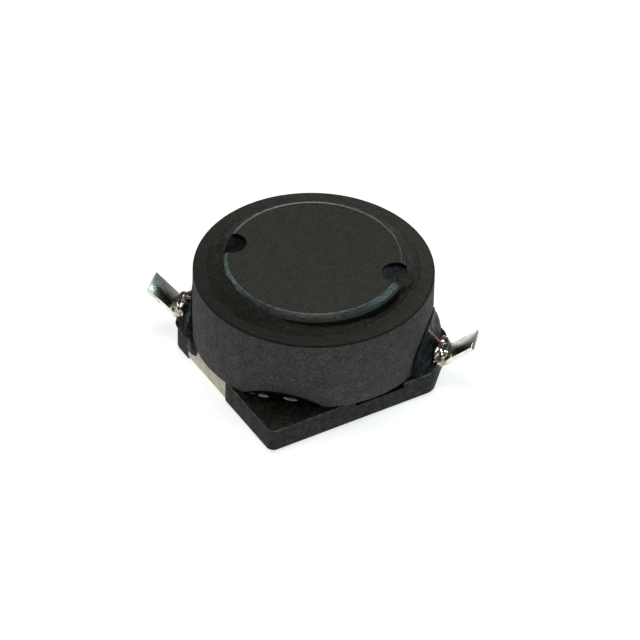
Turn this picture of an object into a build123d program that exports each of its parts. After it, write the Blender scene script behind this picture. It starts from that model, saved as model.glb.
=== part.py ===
from build123d import *
from math import cos, radians, sin, sqrt, tan
import os

# Shielded power inductor for surface mounting, in millimetres, +Z up.
# The origin is the middle of the footprint, on the plane of the board.
# A ferrite drum core with its winding stands in a ferrite shield ring, on a moulded base. Two
# folded strips clip round the base and rise at opposite corners as wings, where the wire is soldered.

# Directions of two of the base's corners, in degrees from +X; the other two face them
left_corner = 135          # carries a wing
near_corner = 225

# Moulded base
base_thickness = 1.28
ring_overhang = 0.25       # the shield ring stands this far beyond the base's sides
pad_stand_off = 0.05       # the pads stand this far below the plastic
corner_round = 0.4         # near and far corners
wing_ledge = 0.61          # the left and right corners are cut off this far beyond the ring
cut_round = 0.8            # where that cut meets the sides
seat_depth = 0.15          # round seat for the core, in the top face
seat_clearance = 0.08      # all round the core's lower flange
pocket_width = 2.8         # spare pockets on the two sides that carry no strip
pocket_shift = 0.5         # as leg_shift, for these
pocket_depth = 0.3

# Terminal strips
strip_thickness = 0.25
strip_bend = 0.08          # inside radius of the folds
leg_width = 3.7
leg_shift = 0.55           # the leg's middle lies this far from the side's middle, towards its wing
pad_length = 2.1           # reach of the pad under the base
lip_length = 0.75          # reach of the lip over the base
arm_width = 0.6
wing_width = 1.45
wing_length = 2.02
wing_rise = 42.5           # degrees
wing_bend = 0.3            # inside radius of the fold at the wing's root
wing_root = 0.24           # the fold stands this far outside the corner cut

# Shield ring
ring_diameter = 12.0
ring_wall = 1.0
ring_height = 4.0
ring_bevel = 0.1           # on its four edges
low_arch_width = 4.3
low_arch_height = 0.82
tall_arch_width = 4.1
tall_arch_height = 2.05

# Drum core
flange_clearance = 0.33    # between flange and shield ring
flange_thickness = 1.15
window_depth = 2.37        # from the flanges' rims in to the post
drum_height = 4.77
rim_bevel_width = 0.36
rim_bevel_height = 0.2
notch_width = 1.56
notch_depth = 1.2

# Winding and its two leads
wire_diameter = 0.14
winding_clearance = 0.05   # to the post and to both flanges
winding_rim_depth = 0.62   # its outermost turns lie this far inside the flanges' rims
lead_clearance = 0.01      # between a lead and the turns that it leaves
lead_departure = 30        # degrees round the coil from the point of leaving to the corner's line
lead_height = 1.85         # above the base's top, where the lead leaves the coil
lead_bend_depth = 0.38     # the lead turns down this far inside the ring's outside face
lead_fall = 50             # degrees below level, from there to the wing

# Solder on the neck of each wing
solder_width = 1.9
solder_thickness = 1.1
solder_belly = 0.8         # its full thickness runs this far across the strip
solder_end = 0.25          # radius of its blunt ends
solder_lift = 0.02         # its middle stands this far above the base's top

# Epoxy
film_thickness = 0.05      # under the core
film_inset = 0.77          # it ends this far inside the core's rim
gap_fill_depth = 0.22      # from the ring's top down to the fill
gap_fill_height = 0.35
notch_fill_depth = 0.25     # from the core's top down to the fill in its wire notches
fillet_overlap = 0.16      # the fill of a tall arch laps this far over the ring, all round the arch
fillet_foot = 0.5          # out from the ring, on the base
fillet_sag = 0.16          # hollow of its face
bead_overlap = 0.04        # the same for the bead in a low arch
bead_foot = 0.24
bead_swell = 0.06
fill_rim = 0.05            # thickness of the four fills where they end on the ring
inner_fill_height = 0.6    # of all four fills, inside the ring
inner_fill_reach = 0.15    # inside the ring's bore

# Places worked out from the sizes above
base_top = pad_stand_off + base_thickness
ring_radius = ring_diameter / 2
half_side = ring_radius - ring_overhang
corner_face = ring_radius + wing_ledge
corner_cut = 2 * half_side - corner_face * sqrt(2)
bore_radius = ring_radius - ring_wall
ring_top = base_top + ring_height
flange_radius = bore_radius - flange_clearance
drum_bottom = base_top - seat_depth + film_thickness
window_bottom = drum_bottom + flange_thickness
window_height = drum_height - 2 * flange_thickness
post_radius = flange_radius - window_depth
winding_inner_radius = post_radius + winding_clearance
winding_radius = flange_radius - winding_rim_depth
wing_fold = corner_face + wing_root


def upright_plane(angle):
    """Vertical plane through the axis: local X runs out at the angle, local Y runs up."""
    outward = (cos(radians(angle)), sin(radians(angle)), 0)
    across = (sin(radians(angle)), -cos(radians(angle)), 0)
    return Plane(origin=(0, 0, 0), x_dir=outward, z_dir=across)


def corner_point(out, across, height):
    """Point at a distance out along the left corner's line, across it anticlockwise, and up."""
    return (out * cos(radians(left_corner)) - across * sin(radians(left_corner)),
            out * sin(radians(left_corner)) + across * cos(radians(left_corner)),
            height)


def arch_outline(width, height):
    """Outline of an arch in the foot of the ring, seen along its corner's line."""
    Line((-width / 2, base_top), (width / 2, base_top))
    ThreePointArc((width / 2, base_top), (0, base_top + height), (-width / 2, base_top))


def epoxy_outline(height, foot, swell):
    """Outline of a fill: into the bore, up to a rim above the arch, down a swelled or hollow front."""
    Polyline((ring_radius + foot, base_top),
             (bore_radius - inner_fill_reach, base_top),
             (bore_radius - inner_fill_reach, base_top + inner_fill_height),
             (ring_radius - ring_wall / 2, base_top + height + fill_rim),
             (ring_radius + fill_rim, base_top + height + fill_rim),
             (ring_radius + foot / 2 + swell, base_top + height / 2),
             close=True)


def wire_notches():
    """Outline of the core's two wire notches, seen from above: round ends and straight sides."""
    with PolarLocations(flange_radius - notch_depth + notch_width / 2, 2, start_angle=left_corner):
        Circle(notch_width / 2)
        with Locations((notch_depth / 2, 0)):
            Rectangle(notch_depth, notch_width)


# Terminal strip of the left wing: pad, leg and lip are one fold, then an arm and the wing
with BuildPart() as terminal_left:
    with BuildSketch(Plane((0, leg_shift, 0), x_dir=(1, 0, 0), z_dir=(0, -1, 0))):
        with BuildLine():
            FilletPolyline((pad_length - half_side, strip_thickness / 2),
                           (strip_thickness / 2 - half_side, strip_thickness / 2),
                           (strip_thickness / 2 - half_side, base_top - strip_thickness / 2),
                           (lip_length - half_side, base_top - strip_thickness / 2),
                           radius=strip_bend + strip_thickness / 2)
        trace(line_width=strip_thickness)
    extrude(amount=leg_width / 2, both=True)
    with BuildSketch(Plane.XY.offset(base_top - strip_thickness)):
        with Locations((lip_length - half_side - arm_width / 2,
                        leg_shift + leg_width / 2 - arm_width / 2)):
            Rectangle(arm_width, arm_width)
        with Locations(corner_point(corner_face - arm_width / 2, 0, 0)):
            Rectangle(arm_width, wing_width, rotation=left_corner)
        make_hull()
    extrude(amount=strip_thickness)
    with BuildSketch(upright_plane(left_corner)):
        with BuildLine():
            FilletPolyline((corner_face - arm_width, base_top - strip_thickness / 2),
                           (wing_fold, base_top - strip_thickness / 2),
                           (wing_fold + wing_length * cos(radians(wing_rise)),
                            base_top - strip_thickness / 2 + wing_length * sin(radians(wing_rise))),
                           radius=wing_bend + strip_thickness / 2)
        trace(line_width=strip_thickness)
    extrude(amount=wing_width / 2, both=True)
terminal_left.part.label = "terminal_left"

with BuildPart() as terminal_right:
    add(terminal_left.part, rotation=(0, 0, 180))
terminal_right.part.label = "terminal_right"

# Outline of the base, a square with its two wing corners cut off
with BuildSketch() as base_outline:
    square = Rectangle(2 * half_side, 2 * half_side)
    wing_corners = square.vertices().sort_by(Axis((0, 0, 0), (-1, 1, 0)))
    chamfer([wing_corners[0], wing_corners[-1]], length=corner_cut)
    corners = base_outline.vertices().sort_by(Axis((0, 0, 0), (1, 1, 0)))
    fillet([corners[0], corners[-1]], radius=corner_round)
    fillet(corners[1:-1], radius=cut_round)

# Base, moulded round both strips
with BuildPart() as base:
    with BuildSketch(Plane.XY.offset(pad_stand_off)):
        add(base_outline.sketch)
    extrude(amount=base_thickness)
    # Round seat for the core
    with BuildSketch(Plane.XY.offset(base_top)):
        Circle(flange_radius + seat_clearance)
    extrude(amount=-seat_depth, mode=Mode.SUBTRACT)
    # Spare pockets on the two sides that carry no strip
    with BuildSketch(Plane.XY.offset(base_top)):
        with PolarLocations(half_side - lip_length / 2, 2, start_angle=-90):
            with Locations((0, pocket_shift)):
                Rectangle(lip_length, pocket_width)
    extrude(amount=-pocket_depth, mode=Mode.SUBTRACT)
    add(terminal_left.part, mode=Mode.SUBTRACT)
    add(terminal_right.part, mode=Mode.SUBTRACT)
base.part.label = "base"

# Shield ring, turned section with the four arches cut through its foot
with BuildPart() as shield_ring:
    with BuildSketch(Plane.XZ):
        with Locations((bore_radius, base_top)):
            wall = Rectangle(ring_wall, ring_height, align=Align.MIN)
        chamfer(wall.vertices(), length=ring_bevel)
    revolve(axis=Axis.Z)
    for corner, width, height in ((near_corner, low_arch_width, low_arch_height),
                                  (left_corner, tall_arch_width, tall_arch_height)):
        with BuildSketch(upright_plane(corner + 90)):
            with BuildLine():
                arch_outline(width, height)
            make_face()
        extrude(amount=ring_diameter, both=True, mode=Mode.SUBTRACT)
shield_ring.part.label = "shield_ring"

# Drum core, turned, with a wire notch through both flanges at each wing corner
with BuildPart() as drum_core:
    with BuildSketch(Plane.XZ):
        with BuildLine():
            Polyline((0, drum_bottom),
                     (flange_radius, drum_bottom),
                     (flange_radius, window_bottom),
                     (post_radius, window_bottom),
                     (post_radius, window_bottom + window_height),
                     (flange_radius, window_bottom + window_height),
                     (flange_radius, drum_bottom + drum_height - rim_bevel_height),
                     (flange_radius - rim_bevel_width, drum_bottom + drum_height),
                     (0, drum_bottom + drum_height),
                     close=True)
        make_face()
    revolve(axis=Axis.Z)
    with BuildSketch(Plane.XY.offset(drum_bottom)):
        wire_notches()
    extrude(amount=drum_height, mode=Mode.SUBTRACT)
drum_core.part.label = "drum_core"

# Winding, all its turns as one solid
with BuildPart() as winding:
    with BuildSketch(Plane.XY.offset(window_bottom + winding_clearance)):
        Circle(winding_radius)
        Circle(winding_inner_radius, mode=Mode.SUBTRACT)
    extrude(amount=window_height - 2 * winding_clearance)
winding.part.label = "winding"

# Lead of the left wing: off the coil, out along the corner's line, down into the solder on the neck
lead_radius = winding_radius + lead_clearance + wire_diameter / 2
lead_level = base_top + lead_height
lead_turn_out = lead_radius / cos(radians(lead_departure))
lead_turn_down = ring_radius - lead_bend_depth
lead_end_level = base_top + strip_thickness
lead_end_out = lead_turn_down + (lead_level - lead_end_level) / tan(radians(lead_fall))
lead_route = [corner_point(lead_radius * cos(radians(lead_departure)),
                           -lead_radius * sin(radians(lead_departure)), lead_level),
              corner_point(lead_turn_out, 0, lead_level),
              corner_point(lead_turn_down, 0, lead_level),
              corner_point(lead_end_out, 0, lead_end_level)]
lead_radii = [0.45 * (lead_turn_down - lead_turn_out) / tan(radians(turn / 2))
              for turn in (90 - lead_departure, lead_fall)]
print("lead radii", [round(radius, 2) for radius in lead_radii])
with BuildPart() as lead_left:
    with BuildLine() as lead_path:
        FilletPolyline(*lead_route, radius=lead_radii)
    with BuildSketch(lead_path.line ^ 0):
        Circle(wire_diameter / 2)
    sweep()
lead_left.part.label = "lead_left"

with BuildPart() as lead_right:
    add(lead_left.part, rotation=(0, 0, 180))
lead_right.part.label = "lead_right"

# Solder, a drop turned about the wing's crosswise line, round its neck and the end of the wire
solder_middle = corner_point(wing_fold, 0, base_top + solder_lift)
crosswise = corner_point(0, 1, 0)
with BuildPart() as solder_left:
    with BuildSketch(Plane(solder_middle, x_dir=crosswise, z_dir=(0, 0, 1))):
        with BuildLine():
            Polyline((-solder_width / 2, 0),
                     (-solder_width / 2, solder_end),
                     (-solder_belly / 2, solder_thickness / 2),
                     (solder_belly / 2, solder_thickness / 2),
                     (solder_width / 2, solder_end),
                     (solder_width / 2, 0),
                     close=True)
        make_face()
    revolve(axis=Axis(solder_middle, crosswise))
    for neighbour in (terminal_left, base, lead_left):
        add(neighbour.part, mode=Mode.SUBTRACT)
solder_left.part.label = "solder_left"

with BuildPart() as solder_right:
    add(solder_left.part, rotation=(0, 0, 180))
solder_right.part.label = "solder_right"

# Epoxy at the wing corners: it fills the tall arch and runs down the ring to the base
with BuildPart() as lead_adhesive_left:
    with BuildSketch(upright_plane(left_corner - 45)):
        with BuildLine():
            epoxy_outline(tall_arch_height + fillet_overlap, fillet_foot, -fillet_sag)
        make_face()
    revolve(axis=Axis.Z, revolution_arc=90)
    extrude(base_outline.sketch, amount=ring_top, mode=Mode.INTERSECT)
    with BuildSketch(upright_plane(left_corner + 90)):
        with BuildLine():
            arch_outline(tall_arch_width + 2 * fillet_overlap, tall_arch_height + fillet_overlap)
        make_face()
    extrude(amount=ring_diameter, both=True, mode=Mode.INTERSECT)
    for neighbour in (shield_ring, terminal_left, solder_left, lead_left):
        add(neighbour.part, mode=Mode.SUBTRACT)
lead_adhesive_left.part.label = "lead_adhesive_left"

with BuildPart() as lead_adhesive_right:
    add(lead_adhesive_left.part, rotation=(0, 0, 180))
lead_adhesive_right.part.label = "lead_adhesive_right"

# Epoxy beads in the low arches
with BuildPart() as corner_adhesive_near:
    with BuildSketch(upright_plane(near_corner - 45)):
        with BuildLine():
            epoxy_outline(low_arch_height + bead_overlap, bead_foot, bead_swell)
        make_face()
    revolve(axis=Axis.Z, revolution_arc=90)
    with BuildSketch(upright_plane(near_corner + 90)):
        with BuildLine():
            arch_outline(low_arch_width + 2 * bead_overlap, low_arch_height + bead_overlap)
        make_face()
    extrude(amount=ring_diameter, both=True, mode=Mode.INTERSECT)
    add(shield_ring.part, mode=Mode.SUBTRACT)
corner_adhesive_near.part.label = "corner_adhesive_near"

with BuildPart() as corner_adhesive_far:
    add(corner_adhesive_near.part, rotation=(0, 0, 180))
corner_adhesive_far.part.label = "corner_adhesive_far"

# Epoxy between the core's top flange and the ring, and higher up in the wire notches
with BuildPart() as gap_adhesive:
    with BuildSketch(Plane.XY.offset(ring_top - gap_fill_depth)):
        Circle(bore_radius)
        Circle(flange_radius, mode=Mode.SUBTRACT)
    extrude(amount=-gap_fill_height)
    with BuildSketch(Plane.XY.offset(window_bottom + window_height)):
        wire_notches()
        Circle(flange_radius, mode=Mode.INTERSECT)
    extrude(amount=flange_thickness - notch_fill_depth)
gap_adhesive.part.label = "gap_adhesive"

# Film of epoxy between the core and its seat
with BuildPart() as seat_adhesive:
    with BuildSketch(Plane.XY.offset(drum_bottom)):
        Circle(flange_radius - film_inset)
    extrude(amount=-film_thickness)
seat_adhesive.part.label = "seat_adhesive"

os.makedirs("parts", exist_ok=True)
for piece in (base, shield_ring, drum_core, winding, gap_adhesive, seat_adhesive):
    export_step(piece.part, f"parts/{piece.part.label}.step")
for piece in (terminal_left, terminal_right, lead_left, lead_right, solder_left, solder_right):
    export_step(piece.part, f"parts/{piece.part.label}.step")
for piece in (lead_adhesive_left, lead_adhesive_right, corner_adhesive_near, corner_adhesive_far):
    export_step(piece.part, f"parts/{piece.part.label}.step")
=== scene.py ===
import logging
import math
from dataclasses import dataclass, field, replace
from enum import Enum
from typing import Callable, Iterable, Optional, Sequence

import bmesh
import bpy
from mathutils import Matrix, Vector, noise


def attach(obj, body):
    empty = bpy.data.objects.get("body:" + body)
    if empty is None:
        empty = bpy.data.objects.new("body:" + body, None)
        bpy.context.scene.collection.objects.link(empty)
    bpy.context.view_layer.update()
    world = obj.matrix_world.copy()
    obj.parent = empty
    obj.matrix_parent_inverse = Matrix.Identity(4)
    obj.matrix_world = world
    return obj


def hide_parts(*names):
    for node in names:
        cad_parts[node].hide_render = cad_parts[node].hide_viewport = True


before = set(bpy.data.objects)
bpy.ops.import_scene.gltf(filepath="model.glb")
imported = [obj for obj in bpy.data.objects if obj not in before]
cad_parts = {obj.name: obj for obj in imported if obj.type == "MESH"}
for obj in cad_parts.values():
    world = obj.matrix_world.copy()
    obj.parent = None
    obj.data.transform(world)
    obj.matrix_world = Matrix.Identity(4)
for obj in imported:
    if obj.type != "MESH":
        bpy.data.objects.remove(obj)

# Dressed scene of a shielded power inductor for surface mounting.
# Meshes are built in millimetres in the part's own frame, +Z up, and scaled to metres when finished.

log = logging.getLogger("inductor")

MM = 0.001
BODY = "root"
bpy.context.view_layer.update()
CLOSE = 1e-4          # millimetres: what lies nearer than this is in one place
SHEARED_EDGE = 0.03   # millimetres: rounding of sheet metal's cut edges

Point = tuple[float, float]
Place = tuple[float, float, float]
Colour = tuple[float, float, float]


class Corner(Enum):
    """Corners of the base, in degrees from +X round +Z."""

    FAR = 45.0
    LEFT = 135.0
    NEAR = 225.0
    RIGHT = 315.0

    @property
    def label(self) -> str:
        """Name of the corner in the names of pieces and nodes."""
        return self.name.lower()

    @property
    def outward(self) -> Vector:
        """Level direction from the axis to this corner."""
        return Vector((math.cos(math.radians(self.value)), math.sin(math.radians(self.value)), 0.0))

    @property
    def across(self) -> Vector:
        """Level direction across this corner's line, anticlockwise seen from above."""
        return Vector((0.0, 0.0, 1.0)).cross(self.outward)

    def point(self, out: float, across: float, height: float) -> Vector:
        """Point at a distance out along this corner's line, across it, and up."""
        return self.outward * out + self.across * across + Vector((0.0, 0.0, height))

    def frame(self) -> Matrix:
        """Turn that takes X to this corner's line and Y across it."""
        return about_z(self.value)


class Cut(Enum):
    """Ways of combining solids."""

    REMOVE = "DIFFERENCE"
    JOIN = "UNION"


# Mesh tools


def about_z(degrees: float, size: int = 4) -> Matrix:
    """Turn about the Z axis."""
    return Matrix.Rotation(math.radians(degrees), size, "Z")


def eased(share: float) -> float:
    """Share between 0 and 1, held at its ends and eased towards them."""
    share = min(max(share, 0.0), 1.0)
    return share * share * (3 - 2 * share)


def chain(points: Iterable[Vector], closed: bool) -> bmesh.types.BMesh:
    """Wire of straight edges.

    Args:
        points: Its vertices, in order.
        closed: Whether the last is joined to the first.

    Returns:
        A new mesh that holds the wire.
    """
    bm = bmesh.new()
    verts = [bm.verts.new(point) for point in points]
    for first, second in zip(verts, verts[1:]):
        bm.edges.new((first, second))
    if closed:
        bm.edges.new((verts[-1], verts[0]))
    return bm


def turned(section: Sequence[Point], steps: int, closed: bool = True) -> bmesh.types.BMesh:
    """Solid turned about the Z axis.

    Args:
        section: Radius and height of each point of its section.
        steps: Number of facets round the axis.
        closed: Whether the section is a closed loop, clear of the axis.

    Returns:
        A new closed mesh.
    """
    bm = chain((Vector((radius, 0.0, height)) for radius, height in section), closed)
    bmesh.ops.spin(bm, geom=bm.verts[:] + bm.edges[:], cent=(0, 0, 0), axis=(0, 0, 1), dvec=(0, 0, 0),
                   angle=2 * math.pi, steps=steps, use_merge=True, use_duplicate=False)
    bmesh.ops.remove_doubles(bm, verts=bm.verts[:], dist=CLOSE)
    bmesh.ops.recalc_face_normals(bm, faces=bm.faces[:])
    return bm


def pushed(bm: bmesh.types.BMesh, made: dict, way: Sequence[float]) -> None:
    """Moves the vertices that an extrusion has made."""
    verts = [item for item in made["geom"] if isinstance(item, bmesh.types.BMVert)]
    bmesh.ops.translate(bm, vec=way, verts=verts)


def relaxed(bm: bmesh.types.BMesh) -> None:
    """One round of smoothing over a whole mesh."""
    bmesh.ops.smooth_vert(bm, verts=bm.verts[:], factor=0.5, use_axis_x=True, use_axis_y=True,
                          use_axis_z=True)


def block(low: Sequence[float], high: Sequence[float]) -> bmesh.types.BMesh:
    """Rectangular solid between two corners."""
    bm = bmesh.new()
    middle = (Vector(low) + Vector(high)) / 2
    bmesh.ops.create_cube(bm, size=1.0)
    bmesh.ops.scale(bm, vec=Vector(high) - Vector(low), verts=bm.verts[:])
    bmesh.ops.translate(bm, vec=middle, verts=bm.verts[:])
    return bm


def rod(radius: float, low: float, high: float, place: Vector, sides: int = 96) -> bmesh.types.BMesh:
    """Upright round solid between two heights, round a place given by its X and Y."""
    bm = bmesh.new()
    bmesh.ops.create_cone(bm, cap_ends=True, segments=sides, radius1=radius, radius2=radius, depth=high - low)
    bmesh.ops.translate(bm, vec=(place.x, place.y, (low + high) / 2), verts=bm.verts[:])
    return bm


def as_object(bm: bmesh.types.BMesh, name: str) -> bpy.types.Object:
    """Linked object that holds the mesh, which is freed."""
    mesh = bpy.data.meshes.new(name)
    bm.to_mesh(mesh)
    bm.free()
    obj = bpy.data.objects.new(name, mesh)
    bpy.context.scene.collection.objects.link(obj)
    return obj


def evaluated(obj: bpy.types.Object) -> bmesh.types.BMesh:
    """Mesh of an object with its modifiers applied. The object is removed."""
    depsgraph = bpy.context.evaluated_depsgraph_get()
    mesh = bpy.data.meshes.new_from_object(obj.evaluated_get(depsgraph))
    bm = bmesh.new()
    bm.from_mesh(mesh)
    old = obj.data
    bpy.data.objects.remove(obj)
    bpy.data.meshes.remove(mesh)
    if isinstance(old, bpy.types.Mesh):
        bpy.data.meshes.remove(old)
    return bm


def combined(body: bmesh.types.BMesh, tools: Sequence[bmesh.types.BMesh], how: Cut) -> bmesh.types.BMesh:
    """Solid joined with or cut by others.

    Args:
        body: The solid that is worked on.
        tools: The solids that are joined to it or cut from it.
        how: Which of the two is done.

    Returns:
        The new solid. Those handed in are freed.
    """
    work = as_object(body, "work")
    helpers = [as_object(tool, "tool") for tool in tools]
    for helper in helpers:
        modifier = work.modifiers.new("combine", "BOOLEAN")
        modifier.operation = how.value
        modifier.solver = "EXACT"
        modifier.object = helper
    bpy.context.view_layer.update()
    result = evaluated(work)
    for helper in helpers:
        mesh = helper.data
        bpy.data.objects.remove(helper)
        bpy.data.meshes.remove(mesh)
    bmesh.ops.remove_doubles(result, verts=result.verts[:], dist=2 * CLOSE)
    bmesh.ops.dissolve_degenerate(result, edges=result.edges[:], dist=2 * CLOSE)
    return result


def softened(bm: bmesh.types.BMesh, edges: Sequence[bmesh.types.BMEdge], width: float, segments: int) -> None:
    """Rounds edges of a mesh, or cuts them off flat with a single facet.

    Args:
        bm: The mesh.
        edges: The edges to round.
        width: How far the rounding reaches from each edge.
        segments: Facets across it.
    """
    bmesh.ops.bevel(bm, geom=list(edges), offset=width, offset_type="OFFSET", segments=segments, profile=0.5,
                    affect="EDGES", clamp_overlap=True, material=-1)


def rings_at(bm: bmesh.types.BMesh, radius: float, height: float) -> list[bmesh.types.BMEdge]:
    """Edges round the axis at one radius and one height."""

    def on_ring(vert: bmesh.types.BMVert) -> bool:
        """Whether a vertex is on the ring."""
        return max(abs(vert.co.xy.length - radius), abs(vert.co.z - height)) < 10 * CLOSE

    return [edge for edge in bm.edges if all(on_ring(vert) for vert in edge.verts)]


def bent_strip(path: Sequence[Vector], bends: Sequence[float], across: Vector, thickness: float,
               segments: int = 5) -> bmesh.types.BMesh:
    """Folded metal strip.

    Args:
        path: Points of its outer or inner face, seen from its side. The strip lies on their left.
        bends: Radius of the fold at each point but the first and the last.
        across: Its full width, as a direction and a length.
        thickness: Thickness of the metal.
        segments: Facets in each fold.

    Returns:
        A new closed mesh.
    """
    bm = chain((point - across / 2 for point in path), False)
    pushed(bm, bmesh.ops.extrude_edge_only(bm, edges=bm.edges[:]), across)

    def on_fold(vert: bmesh.types.BMVert, corner: Vector) -> bool:
        """Whether a vertex lies on the line across the strip through a corner of its path."""
        away = vert.co - corner
        return (away - away.project(across)).length < CLOSE

    for corner, radius in zip(path[1:-1], bends):
        fold = [edge for edge in bm.edges if all(on_fold(vert, corner) for vert in edge.verts)]
        softened(bm, fold, radius, segments)
    bmesh.ops.solidify(bm, geom=bm.faces[:], thickness=thickness)
    bmesh.ops.recalc_face_normals(bm, faces=bm.faces[:])
    bm.normal_update()
    sheared = [edge for edge in bm.edges if edge.calc_face_angle(0.0) > math.radians(60)]
    softened(bm, sheared, SHEARED_EDGE, 2)
    return bm


def swept(path: Sequence[Vector], radius: float, name: str, sides: int = 3) -> bmesh.types.BMesh:
    """Round wire along a smooth line.

    Args:
        path: Control points of the line, which starts and ends on the first and the last.
        radius: Radius of the wire.
        name: Name of the helper curve.
        sides: Blender's bevel resolution of the curve.

    Returns:
        A new closed mesh.
    """
    curve = bpy.data.curves.new(name, "CURVE")
    curve.dimensions = "3D"
    spline = curve.splines.new("NURBS")
    spline.points.add(len(path) - 1)
    for point, place in zip(spline.points, path):
        point.co = (*place, 1.0)
    spline.order_u = 3
    spline.use_endpoint_u = True
    curve.resolution_u = 6
    curve.bevel_depth = radius
    curve.bevel_resolution = sides
    curve.use_fill_caps = True
    obj = bpy.data.objects.new(name, curve)
    bpy.context.scene.collection.objects.link(obj)
    bpy.context.view_layer.update()
    bm = evaluated(obj)
    bpy.data.curves.remove(curve)
    bmesh.ops.remove_doubles(bm, verts=bm.verts[:], dist=CLOSE)
    return bm


def cad_copy(node: str) -> bmesh.types.BMesh:
    """Merged copy of a CAD node's mesh, in millimetres."""
    bm = bmesh.new()
    bm.from_mesh(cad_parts[node].data)
    bmesh.ops.scale(bm, vec=(1 / MM,) * 3, verts=bm.verts[:])
    bmesh.ops.remove_doubles(bm, verts=bm.verts[:], dist=CLOSE)
    return bm


@dataclass(frozen=True)
class Lump:
    """Round lump.

    Attributes:
        middle: Its place.
        size: Its three half-widths.
        turn: How far it is turned about the upright line through its middle, in degrees.
    """

    middle: Place
    size: Place
    turn: float = 0.0

    def mesh(self) -> bmesh.types.BMesh:
        """A new closed mesh of it."""
        bm = bmesh.new()
        bmesh.ops.create_icosphere(bm, subdivisions=4, radius=1.0)
        bmesh.ops.scale(bm, vec=self.size, verts=bm.verts[:])
        place = Matrix.Translation(self.middle) @ about_z(self.turn)
        bmesh.ops.transform(bm, matrix=place, verts=bm.verts[:])
        return bm


def together(lumps: Sequence[Lump]) -> bmesh.types.BMesh:
    """One mesh with the shells of several lumps."""
    result = bmesh.new()
    for lump in lumps:
        bm = lump.mesh()
        mesh = bpy.data.meshes.new("lump")
        bm.to_mesh(mesh)
        bm.free()
        result.from_mesh(mesh)
        bpy.data.meshes.remove(mesh)
    return result


def set_paste(bm: bmesh.types.BMesh, voxel: float, lump: float, grain: float, smoothings: int,
              seed: float, swell: float = 0.0) -> bmesh.types.BMesh:
    """Gives a plain solid the soft uneven skin of a paste that has set.

    Args:
        bm: The plain solid, which is freed.
        voxel: Size of the new mesh's faces.
        lump: Height of its unevenness.
        grain: How many lumps go into a millimetre.
        smoothings: Rounds of smoothing.
        seed: Where in the noise its lumps are read.
        swell: How far the whole skin is moved outwards.

    Returns:
        A new closed mesh.
    """
    work = as_object(bm, "paste")
    remesh = work.modifiers.new("remesh", "REMESH")
    remesh.mode = "VOXEL"
    remesh.voxel_size = voxel
    remesh.adaptivity = 0.0
    bpy.context.view_layer.update()
    result = evaluated(work)
    for _ in range(smoothings):
        relaxed(result)
    result.normal_update()
    shift = Vector((seed, seed * 0.7, seed * 1.3))
    for vert in result.verts:
        vert.co += vert.normal * (swell + lump * noise.fractal(vert.co * grain + shift, 1.0, 2.0, 3))
    return result


# Node tools


class Nodes:
    """A node tree with shorthands for adding and joining nodes."""

    def __init__(self, tree: bpy.types.NodeTree) -> None:
        """Starts with an empty tree."""
        self.tree = tree
        tree.nodes.clear()

    def add(self, kind: str, inputs: Optional[dict] = None, **settings: object) -> bpy.types.Node:
        """Adds a node.

        Args:
            kind: Type name of the node, without its ShaderNode in front where it has that.
            inputs: Values or output sockets for its inputs, by name or number.
            settings: Properties of the node.

        Returns:
            The new node.
        """
        node = self.tree.nodes.new(kind if kind.startswith("Node") else "ShaderNode" + kind)
        for name, value in settings.items():
            setattr(node, name, value)
        for name, value in (inputs or {}).items():
            if isinstance(value, bpy.types.NodeSocket):
                self.tree.links.new(value, node.inputs[name])
            else:
                node.inputs[name].default_value = value
        return node

    def math(self, operation: str, first: object, second: object = 0.0, third: object = 0.0,
             clamp: bool = False) -> bpy.types.NodeSocket:
        """Result of one sum on numbers or output sockets."""
        node = self.add("Math", {0: first, 1: second, 2: third}, operation=operation, use_clamp=clamp)
        return node.outputs[0]

    def reach(self, first: object, second: object) -> bpy.types.NodeSocket:
        """Length of the long side of a right-angled triangle."""
        square = self.math("MULTIPLY", second, second)
        return self.math("SQRT", self.math("MULTIPLY_ADD", first, first, square))

    def away(self, value: object, middle: float) -> bpy.types.NodeSocket:
        """How far a value lies from a middle, either way."""
        return self.math("ABSOLUTE", self.math("SUBTRACT", value, middle))

    def along(self, where: object, way: Place) -> bpy.types.NodeSocket:
        """How far a place lies along a direction."""
        return self.add("VectorMath", {0: where, 1: way}, operation="DOT_PRODUCT").outputs["Value"]

    def scaled(self, colour: object, level: object) -> bpy.types.NodeSocket:
        """Colour made lighter or darker."""
        return self.add("VectorMath", {0: colour, "Scale": level}, operation="SCALE").outputs[0]

    def ramp(self, value: object, low: float, high: float, to_low: float = 0.0,
             to_high: float = 1.0) -> bpy.types.NodeSocket:
        """Value mapped smoothly from one range to another, and held at its ends."""
        node = self.add("MapRange", {"Value": value, "From Min": low, "From Max": high, "To Min": to_low,
                                     "To Max": to_high}, interpolation_type="SMOOTHSTEP")
        return node.outputs["Result"]

    def mix(self, factor: object, first: object, second: object) -> bpy.types.NodeSocket:
        """Mixture of two colours."""
        node = self.add("Mix", {0: factor}, data_type="RGBA")
        for slot, value in ((6, first), (7, second)):
            if isinstance(value, bpy.types.NodeSocket):
                self.tree.links.new(value, node.inputs[slot])
            else:
                node.inputs[slot].default_value = (*value, 1.0)
        return node.outputs[2]

    def noise(self, where: object, scale: object, detail: float, roughness: float) -> bpy.types.NodeSocket:
        """Noise between 0 and 1."""
        return self.add("TexNoise", {"Vector": where, "Scale": scale, "Detail": detail,
                                     "Roughness": roughness}).outputs[0]

    def place(self) -> bpy.types.NodeSocket:
        """Place on the part, in millimetres, in its own frame."""
        where = self.add("TexCoord").outputs["Object"]
        return self.add("Mapping", {"Vector": where, "Scale": (1 / MM,) * 3}).outputs["Vector"]


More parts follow.
